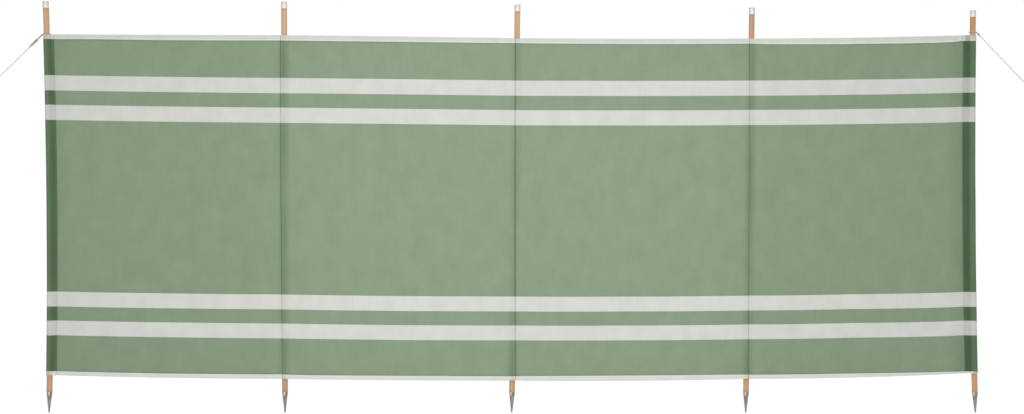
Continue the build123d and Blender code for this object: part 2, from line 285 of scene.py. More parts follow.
def pick(kind, test):
    """In edit mode, selects only those of the "verts" or "faces" that pass a test."""
    bpy.ops.mesh.select_all(action="DESELECT")
    form = bmesh.from_edit_mesh(bpy.context.edit_object.data)
    for item in getattr(form, kind):
        if test(item):
            item.select_set(True)
    bmesh.update_edit_mesh(bpy.context.edit_object.data)


def mark(piece, name, share):
    """Stores a value from share(point) at each point of a piece, for its material."""
    marks = piece.data.attributes.new(name, "FLOAT", "POINT")
    marks.data.foreach_set("value", [share(v.co) for v in piece.data.vertices])


def marked(shader, name):
    """The value that mark stored."""
    return put("Attribute", {}, shader, attribute_name=name).outputs["Fac"]


def cap_painted_shade(point):
    """How much painted shade a cap takes: most round its upper edge, and a little over its upper half."""
    rim = point.z > 0.0225 and hypot(point.x, point.y) > 0.009
    return 0.55 if rim else 0.16 * ease((point.z - 0.009) / 0.004)


pressed_metal, shader = start_finish("pressed_aluminium", Metallic=0.55, Roughness=0.5)
place = in_space(shader)
patches = noise_at(place, (220, 220, 220), 3, 0.6)
scratches = noise_at(place, (900, 900, 120), 2, 0.6)
metal = ramp(patches, ((0.3, (204, 202, 197)), (0.7, (230, 228, 223))))
metal = blend(0.25, metal, ramp(scratches, ((0.35, (178, 176, 171)), (0.6, (234, 232, 227)))))
# painted shade over the cap's upper half and round its upper edge
metal = blend(marked(shader, "worn"), metal, (124, 123, 120))
metal = blend(marked(shader, "warmed"), metal, (232, 214, 194))
cover(shader, metal, patches, 0.0002)
for i in poles:
    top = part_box(f"pole_cap_{i + 1}")[1].z
    bpy.ops.object.select_all(action="DESELECT")
    bpy.ops.mesh.primitive_cylinder_add(vertices=40, radius=cap_radius, depth=cap_length,
                                        location=(0, 0, cap_length / 2))
    cap = bpy.context.object
    cap.name = cap.data.name = f"cap_{i + 1}"
    bpy.ops.object.transform_apply(location=True)
    bpy.ops.object.mode_set(mode="EDIT")
    bpy.ops.mesh.select_mode(type="FACE")
    pick("faces", lambda face: face.normal.z < -0.5)
    bpy.ops.mesh.delete(type="FACE")
    for height, out in cap_rings:
        bpy.ops.mesh.select_all(action="SELECT")
        bpy.ops.mesh.bisect(plane_co=(0, 0, height), plane_no=(0, 0, 1))
        pick("verts", lambda vert: abs(vert.co.z - height) < 0.00002)
        grow = (cap_radius + out) / cap_radius
        bpy.ops.transform.resize(value=(grow, grow, 1), center_override=(0, 0, height))
    pick("faces", lambda face: face.normal.z > 0.5 and face.calc_center_median().z > cap_length - 0.0001)
    for inset in cap_insets:
        bpy.ops.mesh.inset(thickness=inset)
    bpy.ops.object.mode_set(mode="OBJECT")
    for point in (vertex.co for vertex in cap.data.vertices):
        if point.z > cap_length - 0.0001:
            dent = noise.noise((point.x * 260, point.y * 260, 3.7 * i))
            point.z += 0.0003 * dent - 0.0004 * max(0.0, hypot(point.x, point.y) / cap_radius - 0.85)
        if point.z > spread_from:
            spread = 1 + 0.02 * noise.noise((point.x * 120, point.y * 120, 5.1 * i))
            point.x, point.y = point.x * spread, point.y * spread
    solid = cap.modifiers.new("wall", "SOLIDIFY")
    solid.thickness, solid.offset = cap_wall, -1.0
    bpy.ops.object.modifier_apply(modifier=solid.name)
    bpy.ops.object.shade_smooth_by_angle(angle=radians(40))
    mark(cap, "worn", cap_painted_shade)
    mark(cap, "warmed", lambda point: 0.35 * ease((0.012 - point.z) / 0.009))  # with the wood's reflection
    for vertex in cap.data.vertices:
        vertex.co.z += top - cap_length
        vertex.co.x += pole_x(i, vertex.co.z)
    cap.data.materials.append(pressed_metal)
    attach(cap, "root")
    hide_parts(f"pole_cap_{i + 1}")

# ---------------- cloth bays
# One length of woven cotton, sage green with two pairs of white stripes. It hangs between the seams of the
# sleeves, billows a little forwards, and turns back into the pinch of each middle sleeve.

bays = range(last)
cloth_height = 1.257  # of the flat cloth, hems folded
bay_pitch = 0.855
sheet_half = 0.0006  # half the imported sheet's thickness
bay_thickness = 0.0006
bay_columns, bay_rows = 124, 170
stripe_edges = (0.1549, 0.2107, 0.2635, 0.3193, 0.9496, 1.0043, 1.0561, 1.1105)  # below the top edge
stripe_drift = (  # x, and how far the upper and the lower stripes lie below that there
    (-1.63, -0.0040, -0.0010), (-1.27, -0.0012, -0.0020), (-0.87, 0.0014, -0.0016), (-0.40, 0.0007, -0.0005),
    (0.40, -0.0005, -0.0020), (0.90, 0.0, 0.0), (1.26, 0.0, -0.0006), (1.47, 0.0014, 0.0030), (1.60, 0.0025, 0.0050),
)
hems = {"top": 0.018, "bottom": 0.015}
hem_extra = {  # x, and how much deeper than that the hem is folded there
    "top": ((-1.67, -0.0005), (-1.45, -0.0008), (-1.27, 0.0020), (-0.87, 0.0016), (-0.40, 0.0018), (0.0, -0.0004),
            (0.40, 0.0016), (0.90, 0.0008), (1.26, 0.0054), (1.48, 0.0072), (1.58, 0.0062), (1.66, 0.0034)),
    "bottom": ((-1.63, -0.0003), (-1.27, 0.0006), (-0.87, 0.0018), (-0.63, 0.0), (-0.40, 0.0014), (0.0, 0.0006),
               (0.40, 0.0044), (0.90, 0.0004), (1.26, 0.0003), (1.48, -0.0052), (1.60, -0.0074)),
}
seam_bow = (0.0, -0.0022, -0.0012, 0.0002, 0.0)  # of each seam, at mid height


def corner(node, right, up):
    """A packed sheet's corner furthest right (1) or left (-1), and up (1) or down (-1)."""
    return max((v.co for v in frame["nodes"][node].data.vertices), key=lambda p: right * p.x + up * p.z).copy()


def first_hit(node, start, direction):
    """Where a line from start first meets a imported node."""
    return frame["nodes"][node].ray_cast(Vector(start), Vector(direction))[1]


bay_corners, bay_sag, bay_depth, bay_billow = [], [], [], []
for j in bays:
    top, bottom = f"top_hem_{j + 1}", f"bottom_hem_{j + 1}"
    ends = [(corner(bottom, right, -1), corner(top, right, 1)) for right in (-1, 1)]
    depths = [
        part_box(f"cloth_bay_{node}")[1].y - sheet_half
        for node in (1 if j == 0 else 2, len(bays) if j == bays[-1] else 2)
    ]
    middle_x = (ends[0][0].x + ends[1][0].x) / 2
    middle_y = first_hit(f"cloth_bay_{j + 1}", (middle_x, -1, cloth_height / 2), (0, 1, 0)).y + sheet_half
    rises = [
        first_hit(node, (middle_x, middle_y, start), (0, 0, way)).z
        for node, start, way in ((bottom, 0, 1), (top, 2, -1))
    ]
    bay_corners.append(ends)
    bay_depth.append(depths)
    bay_billow.append(sum(depths) / 2 - middle_y)
    bay_sag.append([(ends[0][k].z + ends[1][k].z) / 2 - rises[k] for k in (0, 1)])


def seam_x(i, z):
    """X of the seam at pole i, at height z. An end sleeve's seam keeps its distance from the pole."""
    j, end = (i, 0) if i < last else (i - 1, 1)
    low, high = bay_corners[j][end]
    if i in (0, last):
        return pole_x(i, z) + low.x - pole_x(i, low.z)
    t = (z - low.z) / (high.z - low.z)
    left, right = bay_corners[i - 1][1], bay_corners[i][0]
    middle = [(left[k].x + right[k].x) / 2 for k in (0, 1)]
    return middle[0] + (middle[1] - middle[0]) * t + seam_bow[i] * 4 * t * (1 - t)


def edge_z(j, u, edge):
    """Height of the cloth's lower (0) or upper (1) edge, u of the way along bay j."""
    left, right = bay_corners[j][0][edge].z, bay_corners[j][1][edge].z
    return left + (right - left) * u - 4 * bay_sag[j][edge] * u * (1 - u)


def read_off(table, place, column=1):
    """A value from a table of rows that begin with a place, straight between its rows."""
    for start, end in zip(table, table[1:]):
        if place <= end[0]:
            share = max(place - start[0], 0) / (end[0] - start[0])
            return start[column] + (end[column] - start[column]) * share
    return table[-1][column]


def along_weave(x, drop):
    """How far down the weave a point lies, at x and a drop below the cloth's top edge."""
    share = min(max((drop - 0.24) / 0.79, 0.0), 1.0)
    upper, lower = read_off(stripe_drift, x, 1), read_off(stripe_drift, x, 2)
    return drop - upper - (lower - upper) * share


pull_points = [
    (corners[end][edge].x, corners[end][edge].z, 1 if edge else -1)
    for corners in bay_corners for end in (0, 1) for edge in (0, 1)
]


def ripple(x, z):
    """How far forwards the cloth stands: slack, creases, and folds that fan out from each corner."""
    slack = 0.0032 * noise.noise((x * 2.3, z * 1.7, 3.1)) + 0.0012 * noise.noise((x * 7.0, z * 5.0, 8.4))
    creases = 0.00050 * noise.noise((x * 26 + z * 9, z * 17 - x * 6, 1.7))
    creases += 0.00025 * noise.noise((x * 60, z * 46, 5.2))
    folds = 0.0
    for pull_x, pull_z, up in pull_points:
        dx, dz = x - pull_x, (pull_z - z) * up
        reach = hypot(dx, dz)
        if 0.001 < reach < 0.6:
            turn = atan2(dz, abs(dx))
            folds += 0.0011 * sin(9 * turn + 3 * pull_x) * exp(-reach / 0.16) * ease(reach / 0.06)
    return slack + creases + folds


cloth_curl = (0.0019, (90, 90, 66, 44, 22))  # radius and turns, in degrees, of a sheet's end at a middle seam


def cloth_point(j, c, columns, t, out=0.0, gap=0.0004, lap=0.0, tuck=0.001, curl=cloth_curl):
    """A point of a sheet in bay j: at column c, t of the way up, and out in front of the cloth's middle.

    At a middle seam the sheet turns back, a gap from the seam; at an end seam it laps behind the sleeve.
    """
    radius, turns = curl
    for end, k in ((0, c), (1, columns - c)):
        if j + end in poles[1:-1] and k < len(turns):
            turn, behind = radians(turns[k]), 0 if k else tuck
            z = edge_z(j, end, 0) + (edge_z(j, end, 1) - edge_z(j, end, 0)) * t
            inwards = gap + radius - (radius + out) * sin(turn)
            x = seam_x(j + end, z) + (-inwards if end else inwards)
            return Vector((x, bay_depth[j][end] + radius - (radius + out) * cos(turn) + behind, z))
    skipped = [len(turns) if j + end in poles[1:-1] else 0 for end in (0, 1)]
    share = (c - skipped[0]) / (columns - skipped[0] - skipped[1])
    share -= 0.8 * sin(tau * share) / tau
    begin, finish = [(gap + radius) / bay_pitch if skip else -lap / bay_pitch for skip in skipped]
    u = begin + (1 - finish - begin) * share
    low, high = edge_z(j, u, 0), edge_z(j, u, 1)
    z = low + (high - low) * t
    left, right = seam_x(j, z), seam_x(j + 1, z)
    x = left + (right - left) * u
    y = bay_depth[j][0] + (bay_depth[j][1] - bay_depth[j][0]) * u - 4 * bay_billow[j] * u * (1 - u)
    return Vector((x, y - out - ripple(x, z) * ease(min(x - left, right - x) / 0.07), z))


def add_sheet(name, columns, rows, place, lay, thickness, material, **marks):
    """A sheet of cloth: a grid whose corner at column c and row r lies at place(c, r), and flat at lay(c, r)."""
    bpy.ops.object.select_all(action="DESELECT")
    bpy.ops.mesh.primitive_grid_add(x_subdivisions=columns, y_subdivisions=rows, size=1.0)
    sheet = bpy.context.object
    sheet.name = sheet.data.name = name
    mesh = sheet.data
    cells = [(round((v.co.x + 0.5) * columns), round((v.co.y + 0.5) * rows)) for v in mesh.vertices]
    for vertex, cell in zip(mesh.vertices, cells):
        vertex.co = place(*cell)
    flat = mesh.uv_layers[0]
    flat.name = "flat"
    for loop in mesh.loops:
        flat.data[loop.index].uv = lay(*cells[loop.vertex_index])
    solid = sheet.modifiers.new("thickness", "SOLIDIFY")
    solid.thickness, solid.offset = thickness, 0.0
    bpy.ops.object.modifier_apply(modifier=solid.name)
    bpy.ops.object.shade_smooth()
    for mark_name, share in marks.items():
        mark(sheet, mark_name, share)
    mesh.materials.append(material)
    return sheet


thread_slub = 0.05  # how much darker the weave is between its thick threads


def start_cotton(name, roughness):
    """A cotton's material and shader, its place in the flat cloth, and how far down that is."""
    material, shader = start_finish(name, Roughness=roughness, Sheen_Weight=0.1, Specular_IOR_Level=0.2)
    flat = put("UVMap", {}, shader, uv_map="flat").outputs["UV"]
    return material, shader, flat, axis(flat, "Y")


def woven_threads(shader, flat, cotton, depth):
    """Covers a cotton with its weave: slubs along both threads, mottling, and relief."""
    warp = noise_at(flat, (170, 13, 1), 3, 0.6)
    weft = noise_at(flat, (13, 210, 1), 3, 0.6)
    mottle = noise_at(flat, (16, 11, 1), 3, 0.55)
    for threads, strength in ((warp, 1.0), (weft, 0.6), (mottle, 2.0)):
        least = (1 - thread_slub * strength,) * 3 + (1,)
        cotton = blend(1.0, cotton, ramp(threads, ((0.25, least), (0.75, (1, 1, 1, 1)))), "MULTIPLY")
    across, along = (
        put("TexWave", {"Vector": flat, "Scale": 350.0}, bands_direction=way).outputs["Fac"]
        for way in "XY"
    )
    weave = sum_of(sum_of(across, along, "MULTIPLY"), warp)
    cover(shader, cotton, weave, depth)


def striped_cotton(name, green, white, shaded_green, shaded_white):
    """Plain weave in green with white stripes, darker where the "shaded" mark is high, and with painted light on the
    lower white stripes.
    """
    material, shader, flat, down = start_cotton(name, 0.9)
    stripe = border = 0.0
    for k, edge in enumerate(stripe_edges):
        past = between(down, edge - 0.0003, edge + 0.0003)
        stripe = sum_of(stripe, past, "SUBTRACT" if k % 2 else "ADD")
        border = sum_of(border, between(distance(down, edge), 0.0055, 0.001))
    shaded = marked(shader, "shaded")
    greens = blend(shaded, green, shaded_green)
    beside_white = [part * 0.86 for part in colour(green)[:3]] + [1]
    greens = blend(sum_of(border, 0.30, "MULTIPLY"), greens, beside_white)
    whites = blend(shaded, white, shaded_white)
    # painted light: the white stripes drawn paler lower down the cloth
    lit_low_down = sum_of(between(down, 0.6, 0.9), 0.18, "MULTIPLY")
    whites = blend(lit_low_down, whites, (240, 240, 235))
    woven_threads(shader, flat, blend(stripe, greens, whites), 0.00006)
    return material


bay_cotton = striped_cotton("striped_cotton", (146, 166, 138), (224, 224, 219), (116, 141, 112), (209, 210, 205))
pole_shade = {1: (0.78, 0.0), 2: (0.42, 0.45), 3: (0.75, 0.30)}  # over each middle pole, and extra at its foot
groove_shade = {1: 0.85, 2: 1.0, 3: 0.7}  # in the groove of each middle seam
end_shade = {0: 0.12, last: 0.42}  # beside each end sleeve


def bay_shade(j):
    """How shaded bay j is: over the poles, in the seams, under the hems, and in the outer bays."""
    def share(point):
        x, z = point.x, point.z
        shade = 0.16 * ease((abs(x) - 0.70) / 0.30)
        left, right = seam_x(j, z), seam_x(j + 1, z)
        for i, apart in ((j, x - left), (j + 1, right - x)):
            if i in end_shade:
                shade += end_shade[i] * max(0.0, 1 - max(apart, 0.0) / 0.06)
                continue
            strength, at_foot = pole_shade[i]
            strength += at_foot * ease((0.45 - z) / 0.35)
            patch = 1 + 0.5 * noise.noise((z * 5.5, 4.0 * i, 0.3))
            shade += strength * patch * max(0.0, 1 - abs(x - pole_x(i, z)) / 0.024)
            if apart < 0.0026:
                shade = max(shade, groove_shade[i] * (0.75 + 0.25 * ease((z - 0.15) / 0.3)))
        u = min(max((x - left) / (right - left), 0.0), 1.0)
        for kind, drop in (("top", edge_z(j, u, 1) - z), ("bottom", z - edge_z(j, u, 0))):
            shade += 0.38 * max(0.0, 1 - max(drop - hems[kind] - read_off(hem_extra[kind], x), 0.0) / 0.008)
        return min(max(shade, 0.0), 1.0)
    return share


end_lap = 0.003  # of a bay between the layers of an end sleeve
cut_top, cut_bottom = 0.014, 0.006  # the cloth's cut edges, inside the hems
bay_sheets = []


def bay_drop(r):
    """Depth of row r below the top edge. The rows lie closest beside the hems."""
    share = r / bay_rows - 0.75 * sin(tau * r / bay_rows) / tau
    return cloth_height - cut_bottom - (cloth_height - cut_bottom - cut_top) * share


for j in bays:

    def bay_lay(c, r):
        """The flat place of a corner, for the weave."""
        x = cloth_point(j, c, bay_columns, 0.5).x
        return x, along_weave(x, bay_drop(r))

    sheet = add_sheet(
        f"bay_cloth_{j + 1}", bay_columns, bay_rows,
        lambda c, r: cloth_point(j, c, bay_columns, 1 - bay_drop(r) / cloth_height, lap=end_lap), bay_lay,
        bay_thickness, bay_cotton, shaded=bay_shade(j),
    )
    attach(sheet, "root")
    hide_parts(f"cloth_bay_{j + 1}")
    bay_sheets.append(sheet)

# ---------------- pole sleeves
# The same cotton, looped round each pole and stitched. An end sleeve closes flat beside its pole, over the
# end of the bay; a middle one is pinched together in front of its pole, between two bays.

sleeve_radius = 0.0116  # of the middle of the cloth, round the pole
sleeve_thickness = 0.0006
sleeve_rows = 140
pinch_y = -0.0142
pinch_half = 0.00105
lap_half = 0.00065  # half the distance between the layers of an end sleeve at its seam
sleeve_slack = 0.0004
inward = {0: 1, last: -1}  # the side of each end pole that its bay is on
sleeve_height = [tuple(corner.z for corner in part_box(f"pole_sleeve_{i + 1}")) for i in poles]


def sleeve_run(i, z):
    """How sleeve i's cloth runs at height z: where it meets and leaves its round, and how far it goes."""
    middle, seam = pole_x(i, z), seam_x(i, z)
    if i in inward:
        side, depth = inward[i], bay_depth[0][0] if i == 0 else bay_depth[-1][1]
        low, high = sleeve_height[i]
        apart = lap_half + 0.00075 * ease((0.04 - min(z - low, high - z)) / 0.02)
        ends = [(seam - middle, depth - side * apart), (seam - middle, depth + side * apart)]
    else:
        ends = [(seam - middle - pinch_half, pinch_y), (seam - middle + pinch_half, pinch_y)]
    reaches = [hypot(*place) for place in ends]
    meets = atan2(ends[0][1], ends[0][0]) - acos(sleeve_radius / reaches[0])
    leaves = atan2(ends[1][1], ends[1][0]) + acos(sleeve_radius / reaches[1])
    straights = [sqrt(reach ** 2 - sleeve_radius ** 2) for reach in reaches]
    return meets, leaves, straights[0], straights[0] + sleeve_radius * ((meets - leaves) % tau), sum(straights)


def sleeve_point(i, along, z, out=0.0):
    """A point of sleeve i: along its cloth, 0 to 1, from one side of the seam round the pole to the other."""
    meets, leaves, first, second, straights = sleeve_run(i, z)
    whole = second - first + straights
    gone = along * whole
    if gone < first:
        turn, onwards = meets, first - gone
    elif gone < second:
        turn, onwards = meets - (gone - first) / sleeve_radius, 0.0
    else:
        turn, onwards = leaves, second - gone
    loose = ease(min(gone, whole - gone) / 0.008)
    slack = sleeve_slack * loose * (0.5 + noise.noise((turn * 1.9 + 9 * i, z * 9, along * 3)))
    if i in inward:  # an end sleeve is baggy, most beyond its pole at half height
        low, high = sleeve_height[i]
        baggy = 0.0006 + 0.0036 * (z - low) * (high - z) / (high - low) ** 2
        slack += baggy * max(0.0, -inward[i] * cos(turn)) ** 2
        slack += 0.0009 * loose * ease(abs(onwards) / 0.01) * (0.6 + noise.noise((z * 7, 3.0 * i, along)))
    radius = sleeve_radius + out + slack
    return Vector((
        pole_x(i, z) + radius * cos(turn) - onwards * sin(turn), radius * sin(turn) + onwards * cos(turn), z
    ))


sleeve_shade = {  # how dark each end sleeve's cloth is, from its seam towards its pole
    0: ((0, 0.35), (0.002, 0.62), (0.006, 0.78), (0.010, 0.92), (0.0145, 0.85), (0.019, 0.75), (0.0235, 0.55),
        (0.027, 0.12), (0.032, 0.05)),
    last: ((0, 0.40), (0.003, 0.72), (0.0085, 1.0), (0.0125, 0.85), (0.016, 1.0), (0.021, 0.98), (0.0255, 0.55),
           (0.030, 0.3), (0.036, 0.15)),
}
sleeve_most = {0: 0.85, last: 1.0}  # of that, at its darkest


def from_seam(i, point):
    """How far a point of end sleeve i is from its seam, towards its pole."""
    return inward[i] * (seam_x(i, point.z) - point.x)


def sleeve_mark(i):
    """How shaded a sleeve's cloth is: its flat part, several layers thick, and its outermost fold."""
    def share(point):
        if i not in inward:
            return 0.3
        apart = from_seam(i, point)
        beyond = inward[i] * (pole_x(i, point.z) - point.x) / sleeve_radius
        edge = 1.1 * ease((beyond - 0.80) / 0.12)
        flat = read_off(sleeve_shade[i], apart) * (1 + 0.25 * noise.noise((point.z * 6, 7.0 * i, apart * 90)))
        return min(max(flat + edge, 0.0), 1.0) * sleeve_most[i]
    return share


# Painted shade: the sleeves take the bays' cotton in darker colours, as the cloth lies doubled and less light comes
# through it.
shaded_sleeve_cotton = striped_cotton("doubled_cotton", (107, 131, 100), (217, 218, 214), (74, 99, 70), (194, 196, 190))
sleeve_sheets = []
for i in poles:
    low, high = sleeve_height[i]
    columns = 50 if i in inward else 40
    body_low, body_high = low + cut_bottom, high - cut_top

    def sleeve_z(r):
        """Height of row r."""
        return body_low + (body_high - body_low) * r / sleeve_rows

    sheet = add_sheet(
        f"sleeve_{i + 1}", columns, sleeve_rows,
        lambda c, r: sleeve_point(i, c / columns, sleeve_z(r)),
        lambda c, r: (0.11 * c / columns + 5 + i,
                      along_weave(seam_x(i, 0.7), (high - sleeve_z(r)) * cloth_height / (high - low))),
        sleeve_thickness, shaded_sleeve_cotton, shaded=sleeve_mark(i),
    )
    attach(sheet, "root")
    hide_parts(f"pole_sleeve_{i + 1}")
    sleeve_sheets.append(sheet)

# ---------------- hems
# White cotton tape, folded over the cloth's edges and over the sleeves' rims, and held by one row of
# stitches. Between the stitches the tape puckers a little, and it turns in at the seams with the cloth.

tape_thickness = 0.0005
hem_front, hem_back = 0.00125, -0.0006  # the tape's two layers, in front of the cloth's middle
hem_gap = 0.0016
hem_curl = (0.0008, (62, 40, 20))
hem_columns, band_columns = 200, 44
band_layers = (0.0006, -0.00055)  # and the same over a sleeve's rim
stitch_row = 0.68  # of the way down a hem
stitch_dip = 0.00028  # how far the stitches pull the tape in


def tape_fold(height, front, back):
    """The section of folded tape, as (depth below the edge, out) places: up the front, over and down behind."""
    bulge = 0.00022
    up = [(1.0, front - 0.0001), (0.86, front), (stitch_row, front - stitch_dip), (0.5, front + bulge / 2),
          (0.3, front + bulge), (0.12, front + bulge / 2)]
    down = [(0.12, back), (0.3, back - bulge / 2), (0.5, back), (stitch_row, back + stitch_dip), (0.86, back),
            (1.0, back)]
    middle, half = (front + back) / 2, (front - back) / 2
    over = [(half * (1 - sin(radians(a))), middle + half * cos(radians(a))) for a in range(20, 180, 20)]
    return [(height * v, out) for v, out in up] + over + [(height * v, out) for v, out in down]


def pucker(place, key):
    """How far tape is drawn in or out between its stitches."""
    return 0.00016 * noise.noise((place * 95, key, 0.5)) + 0.00022 * noise.noise((place * 24, key, 7.5))


white_tape, shader, flat, down = start_cotton("white_tape", 0.88)
tape = blend(between(down, 0.0105, 0.0135), (212, 214, 207), (224, 229, 217))
# Painted light and shade on the tape: paler hems, grey over the cloth's layers beside an end seam, and the wood behind
# showing through over the poles.
for mark_name, shade in (("bleached", (246, 248, 241)), ("layered", (158, 164, 154)), ("shaded", (206, 192, 166))):
    tape = blend(marked(shader, mark_name), tape, shade)
woven_threads(shader, flat, tape, 0.00005)


def deepened(kind, x, drop):
    """A drop on a hem, made as much deeper or shallower as the whole hem is there."""
    return drop * (1 + read_off(hem_extra[kind], x) / hems[kind])


def tape_place(kind, j, c, drop, out):
    """A point of a bay's hem: at column c, a drop from the cloth's edge."""
    drop = deepened(kind, bay_pitch * (j - 2 + c / hem_columns), drop)
    edge = ease(min(c, hem_columns - c) / 8)
    drawn = pucker((j + c / hem_columns) * bay_pitch, 3.0 * j + (kind == "top")) * edge
    out += drawn if out > 0 else -0.5 * drawn
    t = 1 - drop / cloth_height if kind == "top" else drop / cloth_height
    return cloth_point(j, c, hem_columns, t, out, hem_gap, lap=-0.0003, tuck=0.0, curl=hem_curl)


def band_place(kind, i, along, drop, out):
    """A point of the tape over a sleeve's rim."""
    low, high = sleeve_height[i]
    drop = deepened(kind, pole_x(i, low), drop)
    if out > 0:
        out += 0.5 * abs(pucker(along * 0.09, 5.0 * i + drop * 20))
    return sleeve_point(i, along, high - drop if kind == "top" else low + drop, out)


bleached = {"top": 0.20, "bottom": 0.52}  # painted light: how much paler than new tape each hem is drawn
layers_shade_span = {0: (0.017, 0.4), last: (0.026, 0.75)}  # how far from each end seam, and how strongly


def over_pole(i, kind):
    """How much of the wood behind is painted showing through the tape over pole i: most at the cloth's own edge."""
    def share(point):
        low, high = sleeve_height[i]
        deep = (high - point.z if kind == "top" else point.z - low) / hems[kind]
        return 0.8 * (1.15 - 0.7 * deep) * ease(1.7 - 1.6 * abs(point.x - pole_x(i, point.z)) / pole_radius)
    return share


def tape_layers(i, kind):
    """How much grey painted shade the upper tape takes where it crosses the layers of cloth between end i's seam and
    pole.
    """
    def share(point):
        if i not in inward or kind == "bottom":
            return 0.0
        apart = from_seam(i, point)
        wide, strength = layers_shade_span[i]
        return strength * ease((apart - 0.005) / 0.003) * ease((wide - apart) / 0.003)
    return share


bay_tapes, sleeve_tapes = [], []
for kind, height in hems.items():
    fold = tape_fold(height, hem_front, hem_back)
    for j in bays:
        sheet = add_sheet(
            f"{kind}_tape_{j + 1}", hem_columns, len(fold) - 1,
            lambda c, r: tape_place(kind, j, c, *fold[r]),
            lambda c, r: (bay_pitch * (j + c / hem_columns), fold[r][0]),
            tape_thickness, white_tape, bleached=lambda point: bleached[kind], layered=lambda point: 0.0,
            shaded=lambda point: 0.65 * max(over_pole(i, kind)(point) for i in poles[1:-1]),
        )
        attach(sheet, "root")
        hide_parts(f"{kind}_hem_{j + 1}")
        bay_tapes.append(sheet)
    fold = tape_fold(height, *band_layers)
    for i in poles:
        sheet = add_sheet(
            f"{kind}_sleeve_tape_{i + 1}", band_columns, len(fold) - 1,
            lambda c, r: band_place(kind, i, c / band_columns, *fold[r]),
            lambda c, r: (0.1 * c / band_columns + 3 + i, fold[r][0]),
            tape_thickness, white_tape, bleached=lambda point: bleached[kind], layered=tape_layers(i, kind),
            shaded=over_pole(i, kind),
        )
        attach(sheet, "root")
        sleeve_tapes.append(sheet)

# ---------------- stitches
# Polyester thread. One white row holds each hem, and two green ones close each end sleeve over its bay's end.
# A stitch is a few millimetres of thread pulled into the cloth at both its ends.

stitch_pitch, stitch_length, thread_radius = 0.0034, 0.0026, 0.00028
bpy.ops.object.select_all(action="DESELECT")
bpy.ops.mesh.primitive_uv_sphere_add(segments=4, ring_count=2, radius=1.0)
stitch_form = bpy.context.object
bpy.ops.object.mode_set(mode="EDIT")
bpy.ops.mesh.quads_convert_to_tris()
bpy.ops.object.mode_set(mode="OBJECT")
stitch_points = [v.co.copy() for v in stitch_form.data.vertices]
stitch_faces = [tuple(face.vertices) for face in stitch_form.data.polygons]
bpy.data.objects.remove(stitch_form)


def even_points(points, spacing):
    """Points a given distance apart along a line of points."""
    places, gone, due = [], 0.0, 0.0
    for start, end in zip(points, points[1:]):
        step = (end - start).length
        while gone + step >= due and step:
            places.append(start.lerp(end, (due - gone) / step))
            due += spacing
        gone += step
    return places


def add_object(name, data):
    """A new object in the scene."""
    made = bpy.data.objects.new(name, data)
    bpy.context.scene.collection.objects.link(made)
    return made


def add_mesh(name, corners, faces):
    """A new piece from its corners and faces."""
    mesh = bpy.data.meshes.new(name)
    mesh.from_pydata(corners, [], faces)
    return add_object(name, mesh)


def add_stitches(name, rows, green_rows=()):
    """One mesh of the stitches along rows of points on the cloth's face."""
    corners, faces, whites = [], [], 0
    for number, row in enumerate((*rows, *green_rows)):
        places = even_points(row, stitch_pitch)
        for start, end in zip(places, places[1:]):
            way = (end - start).normalized()
            turn = way.to_track_quat("Z", "Y")
            middle = start + way * stitch_length / 2
            faces += [tuple(k + len(corners) for k in face) for face in stitch_faces]
            corners += [
                middle + turn @ Vector((p.x * thread_radius, p.y * thread_radius, p.z * stitch_length / 2))
                for p in stitch_points
            ]
        whites = len(faces) if number < len(rows) else whites
    stitches = add_mesh(name, corners, faces)
    stitches.data.materials.append(white_thread)
    if green_rows:
        stitches.data.materials.append(green_thread)
        for face in stitches.data.polygons[whites:]:
            face.material_index = 1
    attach(stitches, "root")
    return stitches


def twisted_thread(name, dark, pale):
    """Thread of one colour, with its twist as fine flecks."""
    material, shader = start_finish(name, Roughness=0.6, Sheen_Weight=0.2)
    twist = noise_at(in_space(shader), (2500, 2500, 2500), 1)
    cover(shader, ramp(twist, ((0.35, dark), (0.65, pale))), twist, 0.0001)
    return material


white_thread = twisted_thread("white_thread", (205, 205, 197), (226, 226, 219))
green_thread = twisted_thread("green_thread", (88, 114, 83), (108, 134, 102))

thread_out = tape_thickness / 2 + 0.00005 - stitch_dip  # from the middle of the tape, in front or behind
closing_insets = (0.0018, 0.0052)  # of the two rows, from an end sleeve's edge
closing_steps, band_steps = 300, 60


def closing_row(i, inwards, front):
    """A row of stitches up end sleeve i, on its front or its back layer."""
    low, high = sleeve_height[i]
    row = []
    for k in range(closing_steps + 1):
        z = low + hems["bottom"] + (high - low - sum(hems.values())) * k / closing_steps
        first, second, straights = sleeve_run(i, z)[2:]
        along = inwards / (second - first + straights)
        row.append(sleeve_point(i, along if front else 1 - along, z, sleeve_thickness / 2 + 0.0001))
    return row


bay_stitches, sleeve_stitches = [], []
for j in bays:
    rows = [
        [tape_place(kind, j, c / 2, stitch_row * height, out) for c in range(14, 2 * hem_columns - 13)]
        for kind, height in hems.items() for out in (hem_front + thread_out, hem_back - thread_out)
    ]
    bay_stitches.append(add_stitches(f"bay_stitches_{j + 1}", rows))
for i in poles:
    rows = [
        [band_place(kind, i, 0.04 + 0.92 * k / band_steps, stitch_row * height, band_layers[0] + thread_out)
         for k in range(band_steps + 1)]
        for kind, height in hems.items()
    ]
    closing = [closing_row(i, inwards, front) for inwards in closing_insets for front in (True, False) if i in inward]
    sleeve_stitches.append(add_stitches(f"sleeve_stitches_{i + 1}", rows, closing))

for j, sheet in zip(bays, bay_sheets):
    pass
for i, sheet in zip(poles, sleeve_sheets):
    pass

# ---------------- guy lines
# One laid cotton cord at each end, pulled taut from its pole to its peg. One end is tied in an eye with a
# bound knot. The other goes round, back through the runner, and ends in a stopper knot that holds it there.

